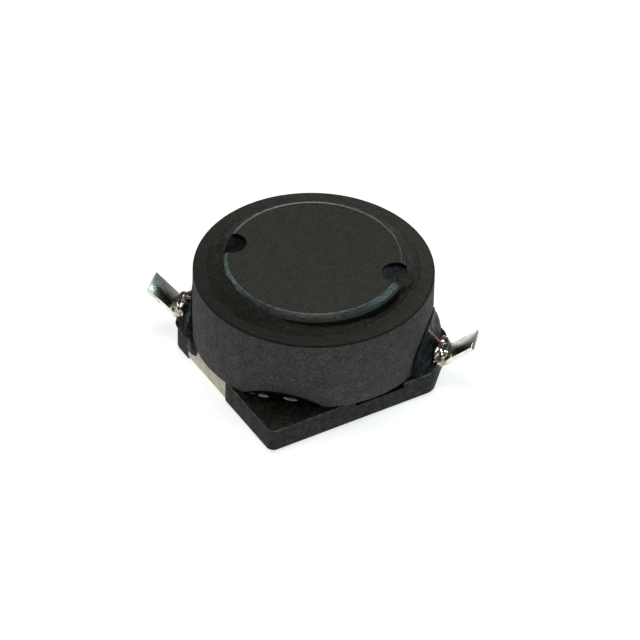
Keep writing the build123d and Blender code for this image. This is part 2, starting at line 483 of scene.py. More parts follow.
def new_group(name: str, inputs: dict[str, float],
              outputs: Sequence[str]) -> tuple[bpy.types.NodeTree, Nodes, bpy.types.NodeOutputs]:
    """Node group that reads a place on the part.

    Args:
        name: Name of the group.
        inputs: Its numbers, by name. It gets a vector named Place besides.
        outputs: Names of its outputs.

    Returns:
        The group, its nodes, and the sockets that give its inputs.
    """
    group = bpy.data.node_groups.new(name, "ShaderNodeTree")
    group.interface.new_socket(name="Place", in_out="INPUT", socket_type="NodeSocketVector")
    for label, value in inputs.items():
        made = group.interface.new_socket(name=label, in_out="INPUT", socket_type="NodeSocketFloat")
        made.default_value = value
    for label in outputs:
        group.interface.new_socket(name=label, in_out="OUTPUT", socket_type="NodeSocketFloat")
    nodes = Nodes(group)
    return group, nodes, nodes.add("NodeGroupInput").outputs


def grain_group() -> bpy.types.NodeTree:
    """Fine grain with scattered pits and a slow mottle, for pressed, moulded and plated skins."""
    group, nodes, given = new_group(
        "grain", {"Grain": 20.0, "Pit Size": 8.0, "Pit Share": 0.2, "Mottle Size": 1.0},
        ("Height", "Mottle", "Pits", "Speckle"))
    fine = nodes.noise(given["Place"], given["Grain"], 4.0, 0.65)
    coarse = nodes.noise(given["Place"], given["Pit Size"], 2.0, 0.5)
    cells = nodes.add("TexVoronoi", {"Vector": given["Place"], "Scale": given["Pit Size"]})
    rim = nodes.math("MULTIPLY", given["Pit Share"], coarse)
    pits = nodes.ramp(nodes.math("SUBTRACT", cells.outputs["Distance"], rim), 0.0, 0.12, 1.0, 0.0)
    slow = nodes.noise(given["Place"], given["Mottle Size"], 3.0, 0.6)
    nodes.add("NodeGroupOutput", {"Height": nodes.math("MULTIPLY_ADD", pits, -0.6, fine),
                                  "Mottle": nodes.ramp(slow, 0.3, 0.7), "Pits": pits,
                                  "Speckle": nodes.ramp(fine, 0.36, 0.64)})
    return group


def painted_line_group() -> bpy.types.NodeTree:
    """Painted line of light or shade round the axis, broken up by noise, where a turned face meets the next
    one.
    """
    group, nodes, given = new_group(
        "painted_edge_line", {"Radius": 4.0, "Height": 6.0, "Reach": 0.05, "Breaks": 3.0}, ("Painted Line",))
    axes = nodes.add("SeparateXYZ", {0: given["Place"]}).outputs
    side = nodes.math("SUBTRACT", nodes.reach(axes["X"], axes["Y"]), given["Radius"])
    rise = nodes.math("SUBTRACT", axes["Z"], given["Height"])
    gone = nodes.math("DIVIDE", nodes.reach(side, rise), given["Reach"], clamp=True)
    breaks = nodes.ramp(nodes.noise(given["Place"], given["Breaks"], 3.0, 0.7), 0.38, 0.62, 0.25, 1.0)
    line_paint = nodes.math("MULTIPLY", nodes.math("SUBTRACT", 1.0, gone), breaks, clamp=True)
    nodes.add("NodeGroupOutput", {"Painted Line": line_paint})
    return group


def streak_group() -> bpy.types.NodeTree:
    """Fine parallel marks of rolling and forming, for sheet metal."""
    group, nodes, given = new_group("streaks", {"Turn": 0.0, "Fineness": 12.0}, ("Streaks",))
    turn = nodes.add("CombineXYZ", {"Z": given["Turn"]}).outputs[0]
    drawn = nodes.add("Mapping", {"Vector": given["Place"], "Rotation": turn, "Scale": (0.5, 4.0, 4.0)})
    marks = nodes.noise(drawn.outputs[0], given["Fineness"], 3.0, 0.6)
    nodes.add("NodeGroupOutput", {"Streaks": nodes.ramp(marks, 0.3, 0.7)})
    return group


class Groups:
    """The shared node groups, each built once."""

    def __init__(self) -> None:
        """Builds all of them."""
        self.grain = grain_group()
        self.edge = painted_line_group()
        self.streaks = streak_group()


@dataclass(frozen=True)
class Finish:
    """A surface finish. Every number that stays the same all over is set on the shader's own socket.

    Attributes:
        name: Name of the material.
        slot: Slot of the record that it would fill; not used.
        tone: Its colour where the mottle is light.
        shade: Its colour where the mottle is dark, and twice that of its pits.
        roughness: Its roughness where the mottle is light, and where it is dark.
        specular: Level of its gloss.
        metallic: How far it is a metal.
        coat: Weight of a clear coat.
        coat_roughness: Roughness of that coat.
        grain: How fine its grain is.
        bump: Strength of its relief.
        bump_distance: Height of its relief in millimetres.
        pit_size: How fine its pits are.
        pit_share: How much of it is pits.
        mottle_size: How fine its mottle is.
        speckle: How far the grain lightens and darkens it.
    """

    name: str
    slot: str
    tone: Colour
    shade: Colour
    roughness: tuple[float, float]
    specular: float = 0.5
    metallic: float = 0.0
    coat: float = 0.0
    coat_roughness: float = 0.1
    grain: float = 20.0
    bump: float = 0.1
    bump_distance: float = 0.01
    pit_size: float = 8.0
    pit_share: float = 0.2
    mottle_size: float = 1.0
    speckle: float = 0.3

    def colour(self, nodes: Nodes, place: bpy.types.NodeSocket, grain: bpy.types.NodeOutputs,
               groups: Groups) -> bpy.types.NodeSocket:
        """Colour over the surface: shade through the mottle and in the pits, tone elsewhere, speckled.

        Args:
            nodes: The material's nodes.
            place: Place on the part.
            grain: Outputs of the grain group.
            groups: The shared node groups.

        Returns:
            The socket that gives it.
        """
        patch = nodes.mix(grain["Mottle"], self.tone, self.shade)
        pits = nodes.math("MULTIPLY", grain["Pits"], 0.5)
        plain = nodes.mix(pits, patch, tuple(c * 0.5 for c in self.shade))
        level = nodes.math("MULTIPLY_ADD", grain["Speckle"], 2 * self.speckle, 1 - self.speckle)
        return nodes.scaled(plain, level)

    def relief(self, nodes: Nodes, place: bpy.types.NodeSocket, grain: bpy.types.NodeOutputs,
               groups: Groups) -> bpy.types.NodeSocket:
        """Height over the surface, for the bump."""
        return grain["Height"]

    def material(self, groups: Groups) -> bpy.types.Material:
        """Builds the material.

        Args:
            groups: The shared node groups.

        Returns:
            The finished material.
        """
        material = bpy.data.materials.new(self.name)
        material.use_nodes = True
        nodes = Nodes(material.node_tree)
        place = nodes.place()
        grain = nodes.add("Group", {"Place": place, "Grain": self.grain, "Pit Size": self.pit_size,
                                    "Pit Share": self.pit_share, "Mottle Size": self.mottle_size},
                          node_tree=groups.grain).outputs
        bump = nodes.add("Bump", {"Strength": self.bump, "Distance": self.bump_distance * MM,
                                  "Height": self.relief(nodes, place, grain, groups)})
        shader = nodes.add("BsdfPrincipled", {
            "Base Color": self.colour(nodes, place, grain, groups), "Metallic": self.metallic,
            "Roughness": nodes.ramp(grain["Mottle"], 0.0, 1.0, *self.roughness), "Normal": bump.outputs[0],
            "Specular IOR Level": self.specular, "Coat Weight": self.coat,
            "Coat Roughness": self.coat_roughness})
        nodes.add("OutputMaterial", {"Surface": shader.outputs[0]})
        return material


@dataclass(frozen=True)
class PaintedEdgeLine:
    """Painted line of light or shade round the axis: its radius, height, reach and colour."""

    radius: float
    height: float
    reach: float
    colour: Colour


@dataclass(frozen=True)
class TurnedFinish(Finish):
    """Ferrite or paste with painted lines of light and shade on its turned edges, and painted light and shade
    across it.

    Attributes:
        edges: The painted lines of light and shade.
        breaks: How fine the breaks in those lines are.
        painted_light_slant: Painted light and shade: how much lighter it is at the shield's rim one way, and
            darker the other way.
        painted_light_slant_way: Which way that is, in degrees from +X.
    """

    edges: tuple[PaintedEdgeLine, ...] = ()
    breaks: float = 2.5
    painted_light_slant: float = 0.0
    painted_light_slant_way: float = 18.0

    def colour(self, nodes: Nodes, place: bpy.types.NodeSocket, grain: bpy.types.NodeOutputs,
               groups: Groups) -> bpy.types.NodeSocket:
        """Colour over the surface with painted light one way and painted shade the other, and each painted
        edge line in its own colour.
        """
        # Painted light and shade: the colour is scaled up one way across the part and down the other way.
        way, share = math.radians(self.painted_light_slant_way), self.painted_light_slant / Shield.radius
        rise = nodes.along(place, (math.cos(way) * share, math.sin(way) * share, 0.0))
        result = nodes.scaled(super().colour(nodes, place, grain, groups), nodes.math("ADD", rise, 1.0))
        # Painted highlights and painted shade lines along the turned edges.
        for edge in self.edges:
            line = nodes.add("Group", {"Place": place, "Radius": edge.radius, "Height": edge.height,
                                       "Reach": edge.reach, "Breaks": self.breaks}, node_tree=groups.edge)
            result = nodes.mix(line.outputs["Painted Line"], result, edge.colour)
        return result


@dataclass(frozen=True)
class SheetFinish(Finish):
    """Tinned sheet metal with marks of rolling, and a painted dark reflection on the near half of each wing.

    Attributes:
        turn: Direction of the marks of rolling, in degrees.
        fineness: How fine they are.
        painted_reflection: How far the painted dark reflection covers the plate.
        painted_reflection_colour: Colour of the painted dark reflection on the near half of a wing.
        painted_reflection_side: Middle of that half, across the wing.
        painted_reflection_reach: Where the half begins to fade and where it is gone, from that middle.
        painted_reflection_end: Where it begins to fade and where it is gone, out from the axis.
        red_streak: Colour of the reddish-brown streak along it.
        red_streak_side: Middle of the streak, across the wing.
        red_streak_reach: Where it begins to fade and where it is gone, from that middle.
        red_streak_out: Middle of the streak, out from the axis.
        red_streak_length: Where it begins to fade and where it is gone, from that middle.
        wander: How far the mottle moves both patches.
    """

    turn: float = 0.0
    fineness: float = 12.0
    painted_reflection: float = 0.0
    painted_reflection_colour: Colour = (0.3, 0.29, 0.27)
    painted_reflection_side: float = -0.2
    painted_reflection_reach: tuple[float, float] = (0.28, 0.4)
    painted_reflection_end: tuple[float, float] = (7.9, 8.15)
    red_streak: Colour = (0.17, 0.055, 0.035)
    red_streak_side: float = -0.16
    red_streak_reach: tuple[float, float] = (0.05, 0.17)
    red_streak_out: float = 7.45
    red_streak_length: tuple[float, float] = (0.3, 0.55)
    wander: float = 0.25

    def colour(self, nodes: Nodes, place: bpy.types.NodeSocket, grain: bpy.types.NodeOutputs,
               groups: Groups) -> bpy.types.NodeSocket:
        """Colour with a painted dark reflection on the near half of each wing, and a reddish-brown streak
        along it.
        """
        across = nodes.along(place, Corner.FAR.outward)
        side = nodes.math("MULTIPLY_ADD", grain["Mottle"], self.wander, across)
        far = nodes.math("ABSOLUTE", nodes.along(place, Corner.RIGHT.outward))
        from_painted_reflection, from_red_streak = nodes.away(side, self.painted_reflection_side), nodes.away(side, self.red_streak_side)
        # Painted dark reflection over the near half of each wing, with the reddish-brown streak inside it.
        half = nodes.math("MULTIPLY", nodes.ramp(from_painted_reflection, *self.painted_reflection_reach, self.painted_reflection, 0.0),
                          nodes.ramp(far, *self.painted_reflection_end, 1.0, 0.0))
        streak = nodes.math("MULTIPLY", nodes.ramp(from_red_streak, *self.red_streak_reach, self.painted_reflection, 0.0),
                            nodes.ramp(nodes.away(far, self.red_streak_out), *self.red_streak_length, 1.0, 0.0))
        result = nodes.mix(half, super().colour(nodes, place, grain, groups), self.painted_reflection_colour)
        return nodes.mix(streak, result, self.red_streak)

    def relief(self, nodes: Nodes, place: bpy.types.NodeSocket, grain: bpy.types.NodeOutputs,
               groups: Groups) -> bpy.types.NodeSocket:
        """Height of the rolling marks over the plate's own unevenness."""
        marks = nodes.add("Group", {"Place": place, "Turn": math.radians(self.turn),
                                    "Fineness": self.fineness}, node_tree=groups.streaks)
        return nodes.math("MULTIPLY_ADD", marks.outputs["Streaks"], 0.5, grain["Height"])


# The part


@dataclass(frozen=True)
class Where:
    """Choice of a mesh's faces.

    Attributes:
        above_level: The upward share of a face's normal is more than this.
        below_level: That share is this or less.
        over: The face's middle is higher than this.
        outside: Its middle is further than this from the axis.
        inside: Its middle is nearer than this to the axis.
    """

    above_level: float = -math.inf
    below_level: float = math.inf
    over: float = -math.inf
    outside: float = -math.inf
    inside: float = math.inf

    def __call__(self, middle: Vector, normal: Vector) -> bool:
        """Whether a face with this middle and normal is chosen."""
        return (self.above_level < normal.z <= self.below_level and middle.z > self.over
                and self.outside < middle.xy.length < self.inside)


@dataclass
class Maker:
    """What every sub-assembly shares: how a mesh becomes a finished piece."""

    groups: Groups
    made: dict[str, bpy.types.Material] = field(default_factory=dict)

    def material(self, finish: Finish) -> bpy.types.Material:
        """Material of a finish, built at its first use."""
        if finish.name not in self.made:
            self.made[finish.name] = finish.material(self.groups)
        return self.made[finish.name]

    def piece(self, name: str, bm: bmesh.types.BMesh, finish: Finish, replaces: Sequence[str] = (),
              smooth: float = 35.0,
              also: Sequence[tuple[Finish, Callable[[Vector, Vector], bool]]] = ()) -> None:
        """Turns a mesh in millimetres into a finished piece.

        Args:
            name: Name of the piece.
            bm: Its mesh, which is freed.
            finish: Its finish.
            replaces: CAD nodes that it stands for.
            smooth: Edges sharper than this many degrees stay sharp.
            also: More finishes, each with a test on a face's middle and normal that says where it goes.
        """
        bm.normal_update()
        for index, (_, belongs) in enumerate(also, 1):
            for face in bm.faces:
                if belongs(face.calc_center_median(), face.normal):
                    face.material_index = index
        bmesh.ops.scale(bm, vec=(MM,) * 3, verts=bm.verts[:])
        obj = as_object(bm, name)
        obj.data.polygons.foreach_set("use_smooth", [True] * len(obj.data.polygons))
        obj.data.set_sharp_from_angle(angle=math.radians(smooth))
        for used in (finish, *(other for other, _ in also)):
            obj.data.materials.append(self.material(used))
        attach(obj, BODY)
        if replaces:
            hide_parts(*replaces)
        log.info("%s: %d faces, stands for %s", name, len(obj.data.polygons),
                 ", ".join(replaces) or "nothing")

    def dress(self, node: str, finish: Finish) -> None:
        """Gives a CAD node a finish."""
        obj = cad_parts[node]
        obj.data.materials.clear()
        obj.data.materials.append(self.material(finish))
        log.info("%s: kept from the frame", node)


MOULDING = Finish("moulded_plastic", "moulding", (0.038, 0.039, 0.0405), (0.027, 0.0275, 0.028), (0.5, 0.65),
                  specular=0.04, grain=9.0, bump=0.8, bump_distance=0.05, pit_size=5.0, pit_share=0.35,
                  mottle_size=2.4, speckle=0.35)
MOULDING_TOP = Finish("moulded_plastic_top", "moulding", (0.031, 0.028, 0.0205), (0.0115, 0.011, 0.0085),
                      (0.5, 0.65), specular=0.12, grain=7.0, bump=0.8, bump_distance=0.05, pit_size=4.0,
                      pit_share=0.4, mottle_size=2.6, speckle=0.55)
# Lighter: a painted highlight along the plate's top edges.
MOULDING_EDGE_HIGHLIGHT = Finish("moulded_plastic_edge_highlight", "moulding", (0.08, 0.08, 0.073), (0.025, 0.025, 0.023),
                       (0.4, 0.55), specular=0.3, grain=6.0, bump=0.6, bump_distance=0.04, pit_size=4.0,
                       pit_share=0.3, mottle_size=2.4, speckle=0.5)
# The dark line round the outer top rim of the side is painted shade.
SHIELD = TurnedFinish("shield_ferrite", "ferrite_shield", (0.0595, 0.0625, 0.0575), (0.0465, 0.0485, 0.045),
                      (0.6, 0.7), specular=0.06, grain=9.5, bump=0.8, bump_distance=0.04, pit_size=6.0,
                      pit_share=0.35, mottle_size=2.2, speckle=0.32,
                      edges=(PaintedEdgeLine(5.96, 5.29, 0.1, (0.01, 0.01, 0.01)),))
# Painted light and shade: the dark line on the outer rim is painted shade, the teal line on the bore's edge
# is a painted highlight, and the top is painted lighter one way and darker the other.
SHIELD_TOP = TurnedFinish("shield_ground_face", "ferrite_shield", (0.0475, 0.0435, 0.0355),
                          (0.0365, 0.034, 0.028), (0.5, 0.6), specular=0.15, grain=9.0, bump=0.7,
                          bump_distance=0.03, pit_size=6.0, pit_share=0.35, mottle_size=2.0, speckle=0.35,
                          edges=(PaintedEdgeLine(5.96, 5.33, 0.08, (0.007, 0.007, 0.007)),
                                 PaintedEdgeLine(5.07, 5.33, 0.05, (0.09, 0.125, 0.12))), painted_light_slant=0.4)
# Near black: painted shade on the ring's outer top bevel.
SHIELD_SHADE_EDGE = TurnedFinish("shield_edge_painted_shade", "ferrite_shield", (0.014, 0.014, 0.013), (0.008, 0.008, 0.008),
                           (0.5, 0.6), specular=0.1, grain=7.0, bump=0.4, bump_distance=0.025)
# Light teal: painted highlight on the bore's bevel.
SHIELD_BORE_HIGHLIGHT = Finish("shield_bore_painted_highlight", "ferrite_shield", (0.07, 0.1, 0.097), (0.03, 0.042, 0.041),
                     (0.4, 0.5), specular=0.4, grain=6.0, bump=0.6, bump_distance=0.03, mottle_size=3.0)
# The light line on the top edge is a painted highlight.
CORE = TurnedFinish("core_ground_face", "ferrite_core", (0.0565, 0.0505, 0.042), (0.047, 0.0415, 0.0355),
                    (0.5, 0.6), specular=0.15, grain=9.0, bump=0.7, bump_distance=0.03, pit_size=6.0,
                    pit_share=0.3, mottle_size=2.0, speckle=0.32,
                    edges=(PaintedEdgeLine(4.32, 5.995, 0.04, (0.2, 0.19, 0.16)),))
# The teal tint is a painted highlight colour, and the light line on its top edge is a painted highlight.
CORE_BEVEL = TurnedFinish("core_bevel_painted_sheen", "ferrite_core", (0.034, 0.05, 0.049), (0.018, 0.024, 0.0235),
                          (0.26, 0.36), specular=0.42, grain=6.0, bump=0.45, bump_distance=0.04,
                          pit_size=4.0, pit_share=0.3, mottle_size=2.6, speckle=0.4,
                          edges=(PaintedEdgeLine(4.32, 5.995, 0.045, (0.2, 0.21, 0.19)),))
# Near black: painted shade on the core's side wall under its bevel.
CORE_WALL_SHADE = Finish("core_side_painted_shade", "ferrite_core", (0.006, 0.006, 0.006), (0.004, 0.004, 0.004), (0.5, 0.6),
                   specular=0.1, grain=8.0, bump=0.4, bump_distance=0.03)
WIRE = Finish("enamelled_copper", "enamelled_wire", (0.36, 0.13, 0.05), (0.16, 0.055, 0.025), (0.25, 0.4),
              metallic=1.0, coat=0.3, coat_roughness=0.12, grain=8.0, bump=0.15, pit_share=0.05,
              mottle_size=3.0)
# The near half of each wing is given a painted dark reflection.
TIN = SheetFinish("tin_plate", "tinned_strip", (0.86, 0.85, 0.8), (0.74, 0.71, 0.64), (0.22, 0.32),
                  metallic=1.0, grain=1.5, bump=0.06, bump_distance=0.02, pit_size=3.0, pit_share=0.03,
                  mottle_size=1.2, fineness=5.0, speckle=0.06, painted_reflection=0.85)
LEG = SheetFinish("tin_plate_satin", "tinned_strip", (0.55, 0.515, 0.4), (0.45, 0.415, 0.315), (0.5, 0.65),
                  metallic=0.4, grain=7.0, bump=0.4, bump_distance=0.02, pit_size=5.0, pit_share=0.15,
                  mottle_size=1.6, turn=90.0, speckle=0.12)
SOLDER = Finish("bright_solder", "solder", (0.86, 0.83, 0.76), (0.3, 0.23, 0.15), (0.14, 0.24), metallic=1.0,
                grain=3.0, bump=0.05, bump_distance=0.02, pit_size=3.0, pit_share=0.08, mottle_size=1.5,
                speckle=0.1)
EPOXY = Finish("black_epoxy", "epoxy", (0.0125, 0.019, 0.0215), (0.006, 0.008, 0.0095), (0.35, 0.5),
               specular=0.03, grain=4.0, bump=0.25, bump_distance=0.03, pit_size=4.0, pit_share=0.05,
               mottle_size=2.4, speckle=0.5)
BEAD = Finish("deep_black_epoxy", "epoxy", (0.0045, 0.0048, 0.005), (0.003, 0.003, 0.003), (0.3, 0.45),
              specular=0.05, grain=4.0, bump=0.25, bump_distance=0.03, pit_size=4.0, pit_share=0.05)
# Teal and part metallic: a painted highlight colour for the drops on the near bead.
WET_HIGHLIGHT = Finish("wet_epoxy_painted_highlight", "epoxy", (0.3, 0.42, 0.4), (0.2, 0.28, 0.27), (0.1, 0.2), metallic=0.4,
             specular=1.0, coat=1.0, coat_roughness=0.14, grain=3.0, bump=0.1, bump_distance=0.02,
             pit_share=0.05)
RUN = Finish("brown_epoxy", "epoxy", (0.058, 0.051, 0.04), (0.01, 0.009, 0.0075), (0.4, 0.6), specular=0.1,
             grain=5.0, bump=0.7, bump_distance=0.05, pit_size=4.0, pit_share=0.3, mottle_size=2.4,
             speckle=0.6)
# The paste is painted lighter one way and darker the other: painted light and shade.
FILL = TurnedFinish("grey_epoxy", "epoxy", (0.0435, 0.04, 0.033), (0.033, 0.0315, 0.0265), (0.5, 0.6),
                    specular=0.04, grain=8.0, bump=0.6, bump_distance=0.03, pit_size=5.0, pit_share=0.3,
                    mottle_size=1.6, speckle=0.35, painted_light_slant=0.4)
PLUG = Finish("dark_epoxy", "epoxy", (0.017, 0.0178, 0.018), (0.005, 0.0053, 0.0055), (0.45, 0.6),
              specular=0.06, grain=5.0, bump=0.5, bump_distance=0.04, pit_size=4.0, pit_share=0.2,
              mottle_size=2.0, speckle=0.4)
PLUG_LIGHT = replace(PLUG, name="blue_grey_epoxy", tone=(0.036, 0.043, 0.046), shade=(0.022, 0.026, 0.028))


@dataclass
class Base:
    """Moulded base with seats for the spool and for both strips."""

    maker: Maker
    half: float = 5.75
    bottom: float = 0.05
    top: float = 1.33
    ledge: float = 6.61
    near_round: float = 0.4
    cut_round: float = 0.8
    edge: float = 0.07
    seat_depth: float = 0.15
    seat_room: float = 0.08
    pocket_width: float = 2.8
    pocket_shift: float = 0.5
    pocket_depth: float = 0.3
    beyond: float = 1.0

    def plate(self) -> bmesh.types.BMesh:
        """The plate's outline, with two corners cut off and all of them rounded, pushed up."""
        bm = bmesh.new()
        bmesh.ops.create_grid(bm, x_segments=1, y_segments=1, size=self.half)
        bmesh.ops.translate(bm, vec=(0, 0, self.bottom), verts=bm.verts[:])
        pushed(bm, bmesh.ops.extrude_face_region(bm, geom=bm.faces[:]), (0, 0, self.top - self.bottom))
        bmesh.ops.recalc_face_normals(bm, faces=bm.faces[:])

        def upright(sign: int) -> list[bmesh.types.BMEdge]:
            """Upright edges at the wing corners, for a sign of -1, or at the two other corners, for 1."""
            return [edge for edge in bm.edges
                    if (edge.verts[0].co.xy - edge.verts[1].co.xy).length < CLOSE
                    and edge.verts[0].co.x * edge.verts[0].co.y * sign > 0]

        softened(bm, upright(-1), 2 * self.half - self.ledge * math.sqrt(2), 1)
        softened(bm, upright(-1), self.cut_round * math.tan(math.radians(22.5)), 8)
        softened(bm, upright(1), self.near_round, 10)
        level = [edge for edge in bm.edges if abs(edge.verts[0].co.z - edge.verts[1].co.z) < CLOSE]
        softened(bm, level, self.edge, 3)
        return bm

    def cuts(self) -> list[bmesh.types.BMesh]:
        """Tools that cut the left strip's seats and the pocket of the next side."""
        low, high = Strip.leg_shift - Strip.leg_width / 2, Strip.leg_shift + Strip.leg_width / 2
        outside, under, over = -self.half - self.beyond, -self.beyond, self.top + self.beyond
        inner, thick = Strip.lip - self.half, Strip.thickness
        start, end = (self.pocket_shift + side * self.pocket_width / 2 for side in (-1, 1))
        return [block((outside, low, self.top - thick), (inner, high, over)),
                block((outside, low, under), (thick - self.half, high, over)),
                block((outside, low, under), (Strip.pad - self.half, high, thick)),
                block((start, outside, self.top - self.pocket_depth), (end, inner, over)),
                Strip.arm_plate(self.top - thick, over)]

    def build(self) -> None:
        """Makes the base."""
        tools = [rod(Core.radius + self.seat_room, self.top - self.seat_depth, self.top + self.beyond,
                     Vector(), 200)]
        for turn in (0, 180):
            for tool in self.cuts():
                bmesh.ops.transform(tool, matrix=about_z(turn), verts=tool.verts[:])
                tools.append(tool)
        plate = combined(self.plate(), tools, Cut.REMOVE)
        # The bevels along the plate's top edges get a lighter finish: a painted highlight.
        self.maker.piece("plate", plate, MOULDING, ["base"], also=[
            (MOULDING_TOP, Where(above_level=0.95)),
            (MOULDING_EDGE_HIGHLIGHT, Where(above_level=0.2, below_level=0.95, over=self.top - self.edge))])


@dataclass
class Shield:
    """Ferrite ring with four arches through its foot."""

    maker: Maker
    foot: float = Base.top
    top: float = 5.33
    radius: float = 6.0
    bore: float = 5.0
    edge: float = 0.1
    tall_arch: tuple[float, float] = (4.1, 2.05)
    low_arch: tuple[float, float] = (4.3, 0.82)
    facets: int = 240
    skim: float = 0.01

    def arch(self, corner: Corner, width: float, height: float) -> bmesh.types.BMesh:
        """Tool that cuts one arch through both walls.

        Args:
            corner: One of the two corners that it passes under.
            width: Its width at the foot.
            height: Its height over the foot.

        Returns:
            A new closed mesh.
        """
        radius = (width * width / 4 + height * height) / (2 * height)
        bm = bmesh.new()
        bmesh.ops.create_cone(bm, cap_ends=True, segments=160, radius1=radius, radius2=radius,
                              depth=4 * self.radius)
        turn = corner.frame() @ Matrix.Rotation(math.radians(90), 4, "Y")
        place = Matrix.Translation((0, 0, self.foot + height - radius))
        bmesh.ops.transform(bm, matrix=place @ turn, verts=bm.verts[:])
        return bm

    def build(self) -> None:
        """Makes the ring."""
        section = [(self.bore, self.foot), (self.radius, self.foot), (self.radius, self.top),
                   (self.bore, self.top)]
        ring = turned(section, self.facets)
        rims = [edge for radius, height in section for edge in rings_at(ring, radius, height)]
        softened(ring, rims, self.edge, 3)
        tools = [self.arch(Corner.LEFT, *self.tall_arch), self.arch(Corner.NEAR, *self.low_arch)]
        # Painted light and shade: the bore's bevel gets a painted highlight finish and the outer top bevel a
        # painted shade finish.
        bevels = Where(above_level=0.1, below_level=0.9, over=self.top - self.edge - self.skim)
        self.maker.piece("shield", combined(ring, tools, Cut.REMOVE), SHIELD, ["shield_ring"], also=[
            (SHIELD_TOP, Where(above_level=0.9, over=self.top - self.skim)), (SHIELD_BORE_HIGHLIGHT, bevels),
            (SHIELD_SHADE_EDGE, replace(bevels, outside=self.radius - 2 * self.edge))])


@dataclass
class Core:
    """Ferrite spool with a wire notch at each wing corner."""

    maker: Maker
    film: float = 0.05
    bottom: float = Base.top - Base.seat_depth + film
    height: float = 4.77
    top: float = bottom + height
    flange: float = 1.15
    radius: float = 4.67
    post: float = 2.3
    bevel_width: float = 0.36
    bevel_height: float = 0.2
    bevel_foot: float = top - bevel_height
    foot_round: float = 0.11
    top_round: float = 0.03
    notch_half: float = 0.78
    notch_depth: float = 1.2
    notch_middle: float = radius - notch_depth + notch_half
    facets: int = 240

    def notch(self, corner: Corner) -> list[bmesh.types.BMesh]:
        """Tools that cut one wire notch: its round end and its straight sides."""
        low, high = self.bottom - 1, self.top + 1
        slot = block((self.notch_middle, -self.notch_half, low), (self.radius + 1, self.notch_half, high))
        bmesh.ops.transform(slot, matrix=corner.frame(), verts=slot.verts[:])
        return [rod(self.notch_half, low, high, corner.point(self.notch_middle, 0, 0)), slot]

    def build(self) -> None:
        """Makes the spool."""
        low_inner, high_inner = self.bottom + self.flange, self.top - self.flange
        rim = self.radius - self.bevel_width
        section = [(0, self.bottom), (self.radius, self.bottom), (self.radius, low_inner),
                   (self.post, low_inner), (self.post, high_inner), (self.radius, high_inner),
                   (self.radius, self.bevel_foot), (rim, self.top), (0, self.top)]
        spool = turned(section, self.facets, closed=False)
        softened(spool, rings_at(spool, self.radius, self.bevel_foot), self.foot_round, 4)
        softened(spool, rings_at(spool, rim, self.top), self.top_round, 2)
        for corner in (Corner.LEFT, Corner.RIGHT):
            spool = combined(spool, self.notch(corner), Cut.REMOVE)
        # Painted light and shade: the bevel gets a teal painted highlight colour and the side wall painted
        # shade.
        self.maker.piece("core", spool, CORE, ["drum_core"], also=[
            (CORE_BEVEL, Where(above_level=0.3, below_level=0.97, over=self.bevel_foot - 0.04)),
            (CORE_WALL_SHADE, Where(below_level=0.3))])


@dataclass
class Coil:
    """Winding on the spool's post, turn beside turn."""

    maker: Maker
    room: float = 0.05
    outer: float = 4.05
    wire: float = 0.14
    facets: int = 72
    ridge_steps: int = 4

    def build(self) -> None:
        """Makes the winding with a round ridge for each turn of its outermost layer."""
        inner, low = Core.post + self.room, Core.bottom + Core.flange + self.room
        high = Core.top - Core.flange - self.room
        turns = int((high - low) / self.wire)
        pitch = (high - low) / turns
        section = [(inner, low), (self.outer - pitch / 2, low)]
        for turn in range(turns):
            for step in range(1, self.ridge_steps + 1):
                angle = math.pi * step / self.ridge_steps
                section.append((self.outer - pitch / 2 + pitch / 2 * math.sin(angle),
                                low + pitch * (turn + 0.5 - 0.5 * math.cos(angle))))
        section.append((inner, high))
        self.maker.piece("coil", turned(section, self.facets), WIRE, ["winding"], smooth=60.0)


